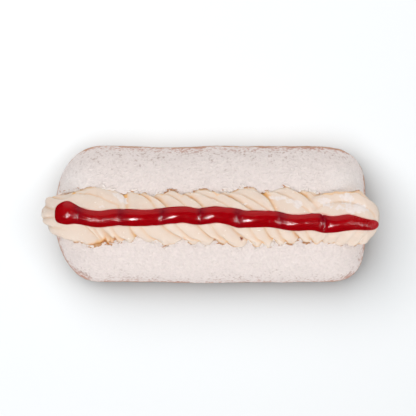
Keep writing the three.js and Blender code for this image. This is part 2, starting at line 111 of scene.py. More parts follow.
BUBBLE_X, BUBBLE_Y, BUBBLE_RADIUS, BUBBLE_DEPTH = 16.2, -12.6, 0.9, 0.5
NOSE_START, NOSE_FULL = -70.0, -84.0
NOSE_LOBE_WIDTH, NOSE_LOBE_MIDDLE, NOSE_SWELL, NOSE_NOTCH = 6.5, 0.95, 0.45, 1.3
REACH_X = (-88.0, -84.0, -77.0, -68.0, -60.0, -50.0, -40.0, -20.0,
           0.0, 20.0, 40.0, 52.0, 70.0, 77.0, 82.0, 88.0)
REACH_UPPER = (3.5, 0.8, -3.8, -2.0, -0.4, -0.6, -3.0, -2.7, -1.4, -0.8, -0.6, -0.8, -0.6, -0.8, -3.8, -5.5)
REACH_LOWER = (-6.5, -3.8, -2.8, -2.5, 1.0, -0.8, -1.9, -0.8, -0.6, 0.2, -0.8, -1.2, -0.7, -0.8, -1.5, -1.8)
LOOP_X = (49.0, 58.0)
LOOP_CENTRE_X, LOOP_CENTRE_Y = 68.5, -1.5
LOOP_HALF_LENGTH, LOOP_HALF_WIDTH = 17.0, 9.8
LOOP_RING, LOOP_SWELL, LOOP_SHOULDER = 0.5, 0.85, 0.85
FAN_FIRST, FAN_STEP, FAN_SWELL, FAN_Y = 79.0, 6.5, 0.45, (-2.0, -5.0)
END_NOTCH, END_X = 1.6, (77.0, 85.0)

# Sizes of the jam
JAM_START_X, JAM_END_X = -81.0, 87.6
JAM_LINE_X = (-81.0, -77.0, -73.0, -68.0, -63.0, -57.0, -50.0, -32.0,
              -14.0, 4.0, 18.0, 31.0, 46.0, 60.0, 74.0, 88.0)
JAM_LINE_Y = (0.1, 0.8, 0.8, -0.5, -1.7, -2.2, -2.0, -1.1, -0.6, -0.6, -1.8, -2.7, -3.8, -4.5, -4.4, -5.2)
JAM_PULSE_EDGES = (-92.0, -69.0, -47.2, -25.3, -5.5, 13.8, 36.2, 58.1, 96.0)
JAM_HALF_WIDTH = 4.45
JAM_STOPS, JAM_STOP_BULGE, JAM_STOP_LENGTH = (13.8, 58.1), 0.65, 3.5
JAM_SWAY, JAM_SWAY_START = 0.45, (-66.0, -50.0)
JAM_SWAY_CRESTS = (-75.3, -50.3, -14.9, 3.9, 31.0, 53.9, 72.7, 93.6)
JAM_BLOB, JAM_BLOB_X, JAM_BLOB_LENGTH, JAM_BLOB_RISE = 1.7, -74.5, 4.5, 1.4
JAM_START_ROUND, JAM_START_POWER, JAM_END_ROUND, JAM_TIP_LENGTH = 4.0, 3.0, 3.0, 16.0
JAM_THICKNESS, JAM_PULSE_RISE, JAM_PULSE_SKEW, JAM_PULSE_ROUND, JAM_SINK = 2.5, 2.0, 0.65, 0.3, 2.2
JAM_CROWN_FLAT, JAM_CROWN_POWER = 2.6, 0.75
JAM_JOINT, JAM_JOINT_X, JAM_JOINT_BOW, JAM_JOINT_WIDTH = 1.3, 57.2, 2.6, 0.9
JAM_LUMP, JAM_LUMP_SIZE = 0.05, 5.0
JAM_THIN_TIP = (81.0, 88.0)
JAM_MARK_BEFORE, JAM_MARK_AFTER, JAM_MARK_RIPPLE = 2.0, 3.5, 1.8
JAM_RIPPLE_X = (-92.0, -72.0, -55.0, -48.0, 28.0, 35.0, 46.0, 56.0, 62.0, 68.0, 76.0, 92.0)
JAM_RIPPLE = (1.0, 1.3, 1.6, 0.3, 0.3, 0.8, 0.9, 0.9, 0.4, 0.5, 2.4, 2.4)
JAM_ROWS, JAM_COLUMNS = 402, 72

# Numbers and sizes of the crumbs
CLOTS_PER_LIP, CLOT_SPREAD, CLOT_SIZE = 130, 0.6, (1.6, 0.9, 0.5)
FLAKES_PER_LIP, FLAKE_SPREAD, FLAKE_SIZE = 75, 0.25, (3.2, 0.55, 0.5)
CRUMB_REACH, CRUMB_OUT, CRUMB_SINK, CRUMB_LIFT = 78.0, 0.15, 0.2, 0.1
TORN_CLOTS, TORN_CLOT_SIZE, TORN_FLAKES, TORN_FLAKES_BESIDE = 16, (1.3, 0.9, 0.5), 5, 1.2
TORN_X, TORN_LENGTH, TORN_Y, TORN_SLANT = -78.0, 9.5, 10.9, 1.6
GRAIN_RINGS, GRAIN_COLUMNS = 3, 6

# Colours
SUGAR_SHADE, SUGAR_LIGHT, SUGAR_DRIFTED = (0.80, 0.71, 0.68), (0.90, 0.80, 0.765), (0.97, 0.93, 0.91)
DUST_SHADE, DUST_LIGHT = (0.79, 0.71, 0.67), (0.84, 0.765, 0.73)
CLOT_UNDER, CLOT_SHADE, CLOT_LIGHT = (0.62, 0.40, 0.32), (0.83, 0.745, 0.70), (0.89, 0.81, 0.77)
FLAKE_DARK, FLAKE_PALE = (0.46, 0.18, 0.07), (0.72, 0.40, 0.20)
RIM_PALE, RIM_RED, CROWN_BARE = (0.75, 0.48, 0.39), (0.49, 0.20, 0.15), (0.57, 0.43, 0.385)
FLANK_GOLD, FLANK_BROWN, FOOT_BROWN = (0.62, 0.37, 0.20), (0.46, 0.23, 0.11), (0.40, 0.19, 0.08)
# LIP_BROWN: browned crust along the lips, partly painted shade of their crease
CRUMB_INSIDE, LIP_BROWN = (0.80, 0.62, 0.40), (0.60, 0.32, 0.15)
CREAM_CREST, CREAM_BLUSH, CREAM_DEEP = (0.80, 0.69, 0.605), (0.77, 0.64, 0.545), (0.82, 0.48, 0.20)
CREAM_FLECK, CREAM_JAMMY = (0.90, 0.82, 0.745), (0.74, 0.36, 0.30)
# Painted shade: the pit by the lower lip, with crumb in it, and the bubble's hollow
PIT_BROWN, BUBBLE_BROWN = (0.36, 0.085, 0.010), (0.30, 0.045, 0.001)
JAM_DEEP, JAM_BRIGHT = (0.28, 0.0005, 0.003), (0.36, 0.0005, 0.003)
JAM_MARK, JAM_THIN = (0.20, 0.0005, 0.006), (0.50, 0.04, 0.05)
FLOOR_PALE = (0.492, 0.505, 0.514)

# Floor, lights and camera, in metres but for the pixels
FLOOR_HALF = 6.0
LIT_POINT = Vector((0.0, 0.0, 0.045))
WORLD_STRENGTH = 0.1
PIXELS, PIXEL_MM = 416, 0.5212
ORIGIN_PIXEL_X, ORIGIN_PIXEL_Y = 210.5, 214.5
CAMERA_DISTANCE, REFERENCE_HEIGHT = 6.0, 0.03
SENSOR_WIDTH = 36.0  # millimetres


def clamp01(u):
    """A number kept between 0 and 1."""
    return np.clip(u, 0.0, 1.0)


def smooth_step(low, high, u):
    """0 below low, 1 above high, and 3f^2 - 2f^3 of the share f between them."""
    f = clamp01((u - low) / (high - low))
    return f * f * (3 - 2 * f)


def super_arc(u, power):
    """Height over u of the superellipse |u|^n + |v|^n = 1."""
    return (1 - clamp01(np.abs(u)) ** power) ** (1 / power)


def bell(u):
    """1 at zero, falling away on both sides: e to the power of -u^2."""
    return np.exp(-u ** 2)


def signed_power(u, power):
    """A power of a number's size, with the number's own sign."""
    return np.sign(u) * np.abs(u) ** power


def round_end(distance, length):
    """Height of a quarter-round end of a given length, at a distance from its tip."""
    return np.sqrt(1 - (1 - clamp01(distance / length)) ** 2)


def smooth_line(knots_x, knots_y, x):
    """Cubic through the knots, its slope at each one the chord between that knot's neighbours."""
    kx, ky = np.asarray(knots_x), np.asarray(knots_y)
    slope = np.gradient(ky, kx)
    i = np.clip(np.searchsorted(kx, x) - 1, 0, len(kx) - 2)
    span = kx[i + 1] - kx[i]
    f = clamp01((x - kx[i]) / span)
    return (
        ky[i] * (1 + 2 * f) * (1 - f) ** 2
        + ky[i + 1] * f * f * (3 - 2 * f)
        + span * f * (1 - f) * (slope[i] * (1 - f) - slope[i + 1] * f)
    )


def smooth_min(a, b, width):
    """The lower of two heights, with the corner between them rounded over a width."""
    f = clamp01(0.5 + 0.5 * (b - a) / width)
    return b * (1 - f) + a * f - width * f * (1 - f)


def lattice(ix, iy, iz, seed):
    """A random number from 0 to 1 for each corner of a cubic lattice, from its whole-number place."""
    h = np.uint32(seed * 97463477 % 2 ** 32)
    for i, factor in ((ix, 374761393), (iy, 668265263), (iz, 2246822519)):
        h = h + i.astype(np.uint32) * np.uint32(factor)
    for shift, factor in ((13, 1274126177), (16, 2654435761)):
        h = (h ^ (h >> np.uint32(shift))) * np.uint32(factor)
    return (h ^ (h >> np.uint32(15))).astype(np.float64) / 2 ** 32


def soft_noise(x, y, z, size, seed):
    """Smooth random field from -1 to 1: lattice numbers a size apart, blended by smooth steps."""
    p = [np.asarray(a, dtype=np.float64) / size + 1000.0 for a in np.broadcast_arrays(x, y, z)]
    low = [np.floor(a).astype(np.int64) for a in p]
    f = [a - b for a, b in zip(p, low)]
    f = [a * a * (3 - 2 * a) for a in f]
    total = np.zeros(p[0].shape)
    for corner in range(8):
        step = (corner & 1, corner >> 1 & 1, corner >> 2 & 1)
        weight = 1.0
        for axis in range(3):
            weight = weight * (f[axis] if step[axis] else 1 - f[axis])
        total += weight * lattice(*(low[axis] + step[axis] for axis in range(3)), seed)
    return 2 * total - 1


def rough_noise(x, y, z, size, seed, layers=3):
    """Layers of soft noise, each at half the size and half the strength of the one before."""
    total = sum(0.5 ** k * soft_noise(x, y, z, size / 2 ** k, seed + k) for k in range(layers))
    return total / sum(0.5 ** k for k in range(layers))


def lip_noise(x, side, layers):
    """Unevenness along one side of the split, unlike the other side's: layers of soft noise."""
    return sum(height * soft_noise(x, np.sign(side) * SIDES_APART, 0, size, seed)
               for height, size, seed in layers)


def grid_normals(points):
    """Outward unit normals of a grid of points whose columns go round: the cross of its two tangents."""
    along = np.gradient(points, axis=0)
    around = np.roll(points, -1, axis=1) - np.roll(points, 1, axis=1)
    normal = np.cross(around, along)
    return normal / np.maximum(np.linalg.norm(normal, axis=2, keepdims=True), 1e-9)


def even_places(dense, lengths, count, closed):
    """Places spread evenly by length along a densely measured line."""
    run = np.concatenate([[0.0], np.cumsum(lengths)])
    wanted = np.linspace(0, run[-1], count + 1 if closed else count)
    return np.interp(wanted[:-1] if closed else wanted, run, dense)


def crowded_places(count):
    """Places between -1 and 1, without those two, that lie closer together towards both ends."""
    t = np.linspace(-1, 1, count)[1:-1]
    return t * (1.1 - 0.1 * t ** 8)


def ring_faces(rows, columns):
    """Faces of a closed skin: quads between its rings of points, and a fan round each of the two poles, which
    are numbered last."""
    i, j = np.meshgrid(np.arange(rows - 1), np.arange(columns), indexing="ij")
    k = (j + 1) % columns
    quads = [i * columns + j, i * columns + k, (i + 1) * columns + k, (i + 1) * columns + j]
    ring = np.arange(columns)
    after = (ring + 1) % columns
    last = (rows - 1) * columns
    first_fan = np.stack([np.full(columns, rows * columns), after, ring], axis=-1)
    last_fan = np.stack([np.full(columns, rows * columns + 1), last + ring, last + after], axis=-1)
    return np.stack(quads, axis=-1).reshape(-1, 4), first_fan, last_fan


def closed_mesh(name, rings, poles, material, node, values, pole_values):
    """A closed skin in metres from rings of points in mm and a pole at each end, in place of a solid whose
    node and slot have one name. It carries values for its points, at the poles 0 unless given."""
    verts = np.concatenate([rings.reshape(-1, 3), poles]) * MM
    faces = sum((part.tolist() for part in ring_faces(*rings.shape[:2])), [])
    carried = {label: np.append(grid, pole_values.get(label, (0, 0))) for label, grid in values.items()}
    return put_mesh(name, verts, faces, material, node, carried)


def new_object(name, data):
    """An object in the scene."""
    item = bpy.data.objects.new(name, data)
    bpy.context.scene.collection.objects.link(item)
    return item


def put_mesh(name, verts, faces, material, node=None, values=None):
    """A smooth mesh object from vertices in metres, riding on the part's one body."""
    mesh = bpy.data.meshes.new(name)
    mesh.from_pydata(verts.tolist(), [], faces)
    mesh.polygons.foreach_set("use_smooth", np.ones(len(mesh.polygons), dtype=bool))
    for label, numbers in (values or {}).items():
        layer = mesh.attributes.new(label, "FLOAT", "POINT")
        layer.data.foreach_set("value", np.asarray(numbers, dtype=np.float32))
    mesh.update()
    mesh.materials.append(material)
    piece = new_object(name, mesh)
    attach(piece, "root")
    if node:
        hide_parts(node)
    return piece


# The bun

def end_arc(x, left, left_power, right, right_power):
    """1 along the middle of the bun, closing to 0 at each tip in a superelliptic arc of a given length."""
    half = BUN_LENGTH / 2
    into_left = np.maximum(0.0, left - half - x) / left
    into_right = np.maximum(0.0, right - half + x) / right
    return super_arc(into_left, left_power) * super_arc(into_right, right_power)


def bun_half_width(x, side):
    """Half width of the bun on one side (+1 or -1): straight with a slow hollow on one side and a belly on
    the other, closed at each tip by an arc."""
    hollow = BUN_HOLLOW * bell((x - BUN_HOLLOW_X) / BUN_HOLLOW_LENGTH)
    belly = BUN_BELLY * bell((x - BUN_BELLY_X) / BUN_BELLY_LENGTH)
    right = BUN_END_RIGHT + BUN_END_RIGHT_SKEW * side
    edge = BUN_WIDTH / 2 - np.where(side > 0, hollow, BUN_BELLY - belly)
    return edge * end_arc(x, BUN_END_LEFT, BUN_END_LEFT_POWER, right, BUN_END_RIGHT_POWER)


def bun_crown(x):
    """Height of the crown along the bun, next to its full height: an arc at each end."""
    return end_arc(x, BUN_CROWN_END, BUN_CROWN_END_POWER, BUN_CROWN_END, BUN_CROWN_END_POWER)


def split_height(x, across):
    """Height of the split's wall at a distance from its middle: floor curve, belly curve, lip and flare, all
    below the lip squeezed upwards towards both ends, where the split is shallower."""
    floor_half, lip_half = SPLIT_FLOOR_WIDTH / 2, SPLIT_LIP_WIDTH / 2
    belly = np.array([floor_half + 0.4 * (lip_half - floor_half),
                      SPLIT_FLOOR_HEIGHT + 0.55 * (SPLIT_LIP_HEIGHT - SPLIT_FLOOR_HEIGHT)])
    foot, lip = np.array([0.0, SPLIT_FLOOR_HEIGHT]), np.array([lip_half, SPLIT_LIP_HEIGHT])
    corner = np.array([floor_half, SPLIT_FLOOR_HEIGHT])
    curl = np.array([lip_half - 1, SPLIT_LIP_HEIGHT - 4])
    f = np.linspace(0, 1, 40)[:, None]
    wall = [a * (1 - f) ** 2 + 2 * b * f * (1 - f) + c * f * f
            for a, b, c in ((foot, corner, belly), (belly, curl, lip))]
    flare = np.array([[lip_half + 6, 2 * SPLIT_LIP_HEIGHT], [lip_half + 60, 20 * SPLIT_LIP_HEIGHT]])
    wall = np.concatenate(wall + [flare])
    height = np.interp(across, wall[:, 0], wall[:, 1])
    below_lip = clamp01((SPLIT_LIP_HEIGHT - height) / (SPLIT_LIP_HEIGHT - SPLIT_FLOOR_HEIGHT))
    return height + SPLIT_END_RISE * smooth_step(*SPLIT_END_X, np.abs(x)) * below_lip


def rope_reach(x, side):
    """The slow line by which the rope on one side (above 0 or below) reaches further or less far than its
    plain width."""
    return np.where(side > 0, smooth_line(REACH_X, REACH_UPPER, x), smooth_line(REACH_X, REACH_LOWER, x))


def split_wall(x, y, ragged=0.0):
    """Height of the split's wall over a place in plan. The lips close on the rope where it reaches less far,
    and their edge may be ragged."""
    beside = y - SPLIT_CENTRE_Y
    spread = 1 + LIP_FOLLOW * rope_reach(x, beside) / (SPLIT_LIP_WIDTH / 2)
    return split_height(x, np.abs(beside) / spread + ragged)


def bun_shape(x, turn):
    """Points of the bun for x along it and a turn round it: superellipse sections, the crown cut by the
    split with rounded lips, the foot cut flat. Also the height of the split's wall at each."""
    across, up = np.cos(turn), np.sin(turn)
    top = up >= 0
    power = np.where(top, BUN_CROWN_POWER, BUN_FOOT_POWER)
    rise = np.where(top, BUN_HEIGHT - BUN_WAIST, BUN_FOOT_DEPTH)
    y = bun_half_width(x, np.sign(across)) * signed_power(across, 2 / power)
    z = BUN_WAIST + rise * bun_crown(x) * signed_power(up, 2 / power)
    wall = split_wall(x, y, lip_noise(x, y, LIP_RAGGED))
    z = np.where(top, smooth_min(z, wall, LIP_ROUNDING), z)
    return np.stack(np.broadcast_arrays(x, y, np.maximum(z, 0.0)), axis=-1), wall


def bun_turns():
    """Turns round the bun's middle section, spread evenly by length, with fewer under it and in the split."""
    turn = np.linspace(-np.pi / 2, 3 * np.pi / 2, 8001)
    section, _ = bun_shape(np.zeros_like(turn), turn)
    steps = np.linalg.norm(np.diff(section, axis=0), axis=1)
    middle = (turn[1:] + turn[:-1]) / 2
    in_split = np.abs(section[1:, 1] - SPLIT_CENTRE_Y) < SPLIT_LIP_WIDTH / 2 - 1
    share = np.where(in_split, BUN_SHARE_SPLIT, BUN_SHARE_CROWN)
    share = np.where(np.sin(middle) < 0, BUN_SHARE_UNDER, share)
    return even_places(turn, steps * share, BUN_COLUMNS, closed=True)


def sugar_wear(normal, facing, patch):
    """Share of the sugar that has worn off, with painted shade: an even share, more on the back slope, where
    it partly stands for that slope's shade, low on the front, on the steepest edge and on the front corners,
    and uneven in patches."""
    endwise, across = np.abs(normal[..., 0]), normal[..., 1]
    back, front = np.maximum(across, 0.0), np.maximum(-across, 0.0)
    # On the back slope the sugar is partly worn and partly painted shade of the slope turned from the light
    worn = WEAR_EVEN + WEAR_BACK * back * (0.4 + 0.6 * smooth_step(0.0, 0.5, facing))
    worn = worn + WEAR_FRONT * smooth_step(0.5, 1.0, front) + WEAR_PATCHY * patch
    worn = worn + WEAR_EDGE * smooth_step(0.85, 0.98, np.maximum(back, endwise))
    corner = smooth_step(0.15, 0.5, endwise) * smooth_step(0.3, -0.1, across)
    return worn + WEAR_CORNER * smooth_step(0.68, 0.98, np.hypot(endwise, across)) * corner


def sugar_drift(x, y):
    """Painted light beyond the upper lip near both ends of the bun: the sugar there painted whiter, where the
    rope and the falling crown leave it in shade.
    """
    beside_lip = smooth_step(*DRIFT_OUTER, y) * smooth_step(*DRIFT_INNER, y)
    return DRIFT * smooth_step(*DRIFT_ALONG, np.abs(x)) * beside_lip


def make_bun(material):
    """The whole bun on a grid spaced evenly along its outline and round its section, with a fine sugar
    grain laid over the crust along the normals."""
    half = BUN_LENGTH / 2
    dense = half * np.sin(np.linspace(-1, 1, 40001) * np.pi / 2)
    outline = np.stack([dense, bun_half_width(dense, 1.0)], axis=-1)
    x = even_places(dense, np.linalg.norm(np.diff(outline, axis=0), axis=1), BUN_ROWS, closed=False)[1:-1]
    turn = bun_turns()
    points, wall = bun_shape(x[:, None], turn[None, :])
    normal = grid_normals(points)
    px, py, pz = np.moveaxis(points, -1, 0)
    top = np.sin(turn)[None, :] >= 0
    in_wall = np.where(top, smooth_step(1.5, -1.0, wall - pz - 0.3), 0.0)
    foot = smooth_step(3.0, 0.2, pz)
    uneven = sum(height * rough_noise(px, py, pz, size, seed, 2) for height, size, seed in CRUST_UNEVEN)
    points = points + normal * (uneven * (1 - foot))[..., None]
    patch = rough_noise(px, py, pz, 7.0, 51)
    facing = normal[..., 2] - SUGAR_LEAN * normal[..., 1]
    crown = smooth_step(0.2, 0.5, facing)
    inside = from_lip(px, py)
    # The pit by the lower lip: the bun's edge there painted dark as shade and crumb
    pit = smooth_step(0.0, 0.5, pit_arc(px) + 0.5 * patch) * smooth_step(1.8, 0.6, np.abs(inside)) * (py < 0)
    # The lips' browned crust with painted shade of their crease
    lip = np.where(top & (pz > UPPER_SIDE), np.maximum(lip_stain(px, py, inside), pit), 0.0)
    sugar = smooth_step(-0.4, 0.3, facing + 0.25 * patch) * (1 - sugar_wear(normal, facing, patch))
    values = {
        "sugar": sugar * (1 - in_wall) * (1 - 0.5 * lip),
        "flank": smooth_step(0.22, -0.12, facing),
        "crown": crown,
        "crumb": in_wall,
        "lip": lip,
        # painted light: the sugar made whiter by the upper lip near both ends
        "drift": sugar_drift(px, py) * crown * top * (1 - lip) * (1 - in_wall),
        "foot": foot,
    }
    poles = [[-half, 0, BUN_WAIST], [half, 0, BUN_WAIST]]
    return closed_mesh("bun_crust", points, poles, material, "bun", values, {"flank": (1, 1)})


# The cream

def strand_lay(turn):
    """How far along the rope a strand has run from where it tops the crest: a helix, so the run grows
    with the angle, and back again under the rope."""
    return -CREAM_TWIST / np.pi * np.arcsin(0.98 * np.cos(turn))


def strand_run(across):
    """Share of a strand's run from the jam's edge to the lip, for a place across the rope: the angle of a
    helix, carried on straight under the jam."""
    out = (np.abs(across) ** (2 / CREAM_SECTION_POWER) - RUN_START) / RUN_LENGTH
    return np.where(out > 0, 2 / np.pi * np.arcsin(np.clip(out, 0.0, 1.0)), 2 / np.pi * out)


def strand_side(x, run, edge_jam, edge_lip, fold_jam, fold_lip):
    """One side of the rope. Each strand lies between two edges and has a fold between them, all of them lines
    from the jam to the lip. Its height is a broad arch that leans to its right edge, where it hangs over the
    next strand, plus a dome on either side of the fold. Also a painted shade for the grooves, 0 to 1."""
    height, tone = np.zeros_like(x), np.zeros_like(x)
    for k in range(len(fold_jam)):
        start = edge_jam[k] + (edge_lip[k] - edge_jam[k]) * run
        end = edge_jam[k + 1] + (edge_lip[k + 1] - edge_jam[k + 1]) * run
        u = (x - start) / (end - start)
        inside = (u >= 0) & (u < 1)
        u = clamp01(u)
        fold = np.clip((fold_jam[k] + (fold_lip[k] - fold_jam[k]) * run - start) / (end - start), 0.06, 0.94)
        dome = np.where(u < fold, u / fold, (u - fold) / (1 - fold))
        arch = np.sin(np.pi * u ** STRAND_SKEW) ** ARCH_POWER
        swell = STRAND_SHARE * arch + (1 - STRAND_SHARE) * np.sin(np.pi * dome ** FOLD_SKEW) ** DOME_POWER
        height = np.where(inside, swell, height)
        from_fold = np.abs(u - fold) * (end - start)
        deep = np.maximum(bell((x - start) / GROOVE_AFTER_EDGE), bell((end - x) / GROOVE_BEFORE_EDGE))
        deep = np.maximum(deep, FOLD_TONE * bell(from_fold / GROOVE_FOLD))
        tone = np.where(inside, deep, tone)
    return height, tone * (0.55 + 0.45 * smooth_step(0.2, 0.8, run))


def strand_swell(x, across):
    """Height of the rope's surface between its grooves and the grooves' painted shade, 0 to 1: the strands of
    the upper side, and those of the lower side, passing into each other under the jam."""
    x, across = np.broadcast_arrays(x, across)
    run = strand_run(across)
    upper, lower = strand_side(x, run, *UPPER_STRANDS), strand_side(x, run, *LOWER_STRANDS)
    share = smooth_step(-0.15, 0.15, across)
    return tuple(b + (a - b) * share for a, b in zip(upper, lower))


def nose_swell(y):
    """Height of the left nose, 0 to 1: even lobes side by side across it."""
    return np.abs(np.cos(np.pi * (y - NOSE_LOBE_MIDDLE) / NOSE_LOBE_WIDTH))


def loop_swell(x, y):
    """Height of the right end, 0 to 1: above the jam an oval lobe in a ring with a shoulder outside it, below
    the jam low ridges aslant."""
    oval = np.hypot((x - LOOP_CENTRE_X) / LOOP_HALF_LENGTH, (y - LOOP_CENTRE_Y) / LOOP_HALF_WIDTH)
    ring = np.sin(np.pi * clamp01((oval - 1) / LOOP_RING)) ** LOBE_POWER
    ring = np.maximum(ring, LOOP_SHOULDER * smooth_step(1 + LOOP_RING, 1.25 + LOOP_RING, oval))
    lobe = (1 - clamp01(oval) ** 3) ** LOBE_POWER
    ridges = np.abs(np.sin(np.pi * (x - y - FAN_FIRST) / FAN_STEP)) ** LOBE_POWER
    fan = 1 - FAN_SWELL + FAN_SWELL * ridges
    lower = smooth_step(*FAN_Y, y)
    return np.where(oval > 1, ring, lobe) * (1 - lower) + fan * lower


def cream_axis(x):
    """Height of the rope's axis: level, falling towards both ends by a fourth power."""
    return CREAM_AXIS_HEIGHT - CREAM_END_DROP * np.abs(x / CREAM_HALF) ** 4


def cream_cap(x):
    """Size of the rope's section, 0 to 1: full but for a quarter-round at each end."""
    return round_end(CREAM_HALF - np.abs(x), np.where(x < 0, CREAM_CAP_LEFT, CREAM_CAP_RIGHT))


def rope_swell(x, turn):
    """Height of the rope's surface between its grooves, 0 to 1: the strands, giving way to the nose's lobes
    at the left end and to the loop at the right. Also how much of it the shape takes up, and the grooves'
    painted shade."""
    y = CREAM_CENTRE_Y + (CREAM_GROOVE_HALF_WIDTH + 1.5) * np.cos(turn) * cream_cap(x)
    height, groove = strand_swell(x, np.cos(turn))
    nose = smooth_step(NOSE_START, NOSE_FULL, x)
    loop = smooth_step(*LOOP_X, x)
    for share, lobes in ((nose, nose_swell(y)), (loop, loop_swell(x, y))):
        height = height + (lobes - height) * share
        groove = groove + (LOBE_TONE * smooth_step(0.5, 0.0, lobes) - groove) * share
    return height, 1 + (NOSE_SWELL - 1) * nose + (LOOP_SWELL - 1) * loop, groove


def cream_shape(s, turn):
    """Points of the rope for s along it and a turn round it: a superellipse over the axis that swells with
    the strands and reaches unevenly over the lips, and a plain wedge of filling under it, with lobes like the
    nose's on its right end. Also the grooves' painted shade."""
    across, up = np.cos(turn), np.sin(turn)
    below = clamp01(-up)
    cap = cream_cap(s)
    follow = 1 - smooth_step(0.35, 0.7, np.abs(s) / CREAM_HALF)
    x = s + follow * strand_lay(turn)
    height, share, groove = rope_swell(x, turn)
    swell = height * share
    reach = rope_reach(x, across)
    edge = lip_noise(x, across, ROPE_UNEVEN) + reach * across ** 2
    strand_half = CREAM_GROOVE_HALF_WIDTH + CREAM_STRAND_OUT * swell + edge
    fill_half = CREAM_FILL_HALF_WIDTH + np.minimum(reach, 0.0) * across ** 2
    half_width = strand_half + (fill_half - strand_half) * smooth_step(0.0, 0.3, below)
    rise = np.where(up > 0, CREAM_GROOVE_RISE + CREAM_STRAND_UP * swell, CREAM_FILL_DEPTH)
    tuck = CREAM_END_TUCK * below * cap * np.sign(s) * np.abs(s / CREAM_HALF) ** 9
    in_nose = smooth_step(0.0, 0.25, cap) * smooth_step(NOSE_FULL + 3, NOSE_FULL - 2, s)
    lobes = nose_swell(CREAM_CENTRE_Y + CREAM_GROOVE_HALF_WIDTH * across * cap)
    end = (1 - lobes) * smooth_step(0.0, 0.4, below) * smooth_step(*END_X, s)
    notch = NOSE_NOTCH * (1 - height) * in_nose - END_NOTCH * end * cap
    groove = np.maximum(groove, LOBE_TONE * smooth_step(0.5, 1.0, end))
    bow = np.where(up > 0, 2 / CREAM_SECTION_POWER, 1.0)
    y = CREAM_CENTRE_Y + half_width * signed_power(across, bow) * cap
    z = cream_axis(s) + rise * signed_power(up, bow) * cap
    return np.stack(np.broadcast_arrays(x - tuck + notch, y, z), axis=-1), groove


def pit_arc(x):
    """1 at the middle of the dark pit by the lower lip, painted as shade and crumb, falling by a square to 0
    at its two ends.
    """
    return 1 - ((x - PIT_X) / PIT_LENGTH) ** 2


def cream_dust(x, y, z):
    """Icing sugar fallen on the rope, 0 to 1: soft oval patches broken up by noise."""
    dust = np.zeros_like(x)
    for cx, cy, length, width, amount in DUST_PATCHES:
        along, across = x - cx + 0.7 * (y - cy), y - cy
        dust = np.maximum(dust, amount - 0.55 * np.hypot(along / length, across / width))
    ragged = 0.3 * rough_noise(x, y, z, 3.5, 91) + 0.2 * soft_noise(x, y, z, 1.2, 95)
    return 0.72 * smooth_step(-0.1, 0.55, dust + ragged) * smooth_step(-0.4, 0.0, dust)


def jam_stain(x, y, z):
    """Painted pink glow on the rope from light through the clear jam, 0 to 1: under it and just past its
    outline, fading below the crest.
    """
    beside = smooth_step(0.5, -0.5, np.abs(y - jam_line(x)) - jam_half_width(x))
    started = smooth_step(JAM_START_X - 0.5, JAM_START_X + 1.0, x)
    return beside * started * smooth_step(2.5, 1.5, cream_crest(x) - z)


def make_cream(material):
    """The rope on a grid whose rows follow the strands, most of its columns over the top, with the faint
    drag marks of the nozzle along the ridges."""
    s = CREAM_HALF * crowded_places(CREAM_ROWS)
    over = np.linspace(-CREAM_OVERLAP, np.pi + CREAM_OVERLAP, CREAM_COLUMNS_OVER)
    under = np.linspace(np.pi + CREAM_OVERLAP, 2 * np.pi - CREAM_OVERLAP, CREAM_COLUMNS_UNDER)[1:-1]
    points, groove = cream_shape(s[:, None], np.concatenate([over, under])[None, :])
    normal = grid_normals(points)
    px, py, pz = np.moveaxis(points, -1, 0)
    drag = 0.08 * soft_noise(px + py, (px - py) * 0.2, pz * 0.3, 1.6, 61)
    soft = 0.4 * rough_noise(px, py, pz, 5.0, 71)
    # A bubble: a shallow dent, painted dark inside as its shade
    from_bubble = np.hypot(px - BUBBLE_X, py - BUBBLE_Y)
    bubble = smooth_step(BUBBLE_RADIUS, 0.75 * BUBBLE_RADIUS, from_bubble) * (pz > UPPER_SIDE)
    points = points + normal * (drag + soft - BUBBLE_DEPTH * bubble)[..., None]
    inside = from_lip(px, py)
    # Painted shade of the grooves: less on the lit lower side, more near the lips, and warm along the lips'
    # crease
    groove = groove * (1 - 0.35 * smooth_step(-2.0, -6.0, py)) * (1 + smooth_step(3.5, 0.5, inside))
    groove = np.maximum(np.minimum(groove, 1.0), 0.55 * lip_stain(px, py, inside))
    # The pit by the lower lip, painted dark on the rope: painted shade of a gap, with brown crumb in it
    arc, into = pit_arc(px), inside / PIT_WIDTH
    ragged = 0.4 * rough_noise(px, py, pz, 2.5, 73)
    pit = smooth_step(0.0, 0.8, arc - into + ragged) * (arc > 0) * (py < 0)
    values = {
        "groove": np.maximum(groove, pit),
        "pit": 0.85 * pit * smooth_step(0.5, 0.0, into),
        "bubble": bubble,
        "dust": cream_dust(px, py, pz),
        # painted pink glow of light through the clear jam
        "stain": jam_stain(px, py, pz),
    }
    poles = [[end, CREAM_CENTRE_Y, cream_axis(end)] for end in (-CREAM_HALF, CREAM_HALF)]
    return closed_mesh("cream_rope", points, poles, material, "cream", values, {})


# The jam

def jam_pulse(x):
    """The jam's rise, 0 to about three quarters, in the pulse between two squeezes of the bag: quick after
    each edge, then a long fall, with the hollow between two pulses rounded."""
    count = np.interp(x, JAM_PULSE_EDGES, np.arange(len(JAM_PULSE_EDGES)))
    arch = np.sin(np.pi * (count - np.floor(count)) ** JAM_PULSE_SKEW)
    return np.sqrt(arch ** 2 + JAM_PULSE_ROUND ** 2) - JAM_PULSE_ROUND


def cream_crest(x):
    """Height of the rope's crest under the jam, at the bottom of its grooves."""
    return cream_axis(x) + CREAM_GROOVE_RISE * cream_cap(x)


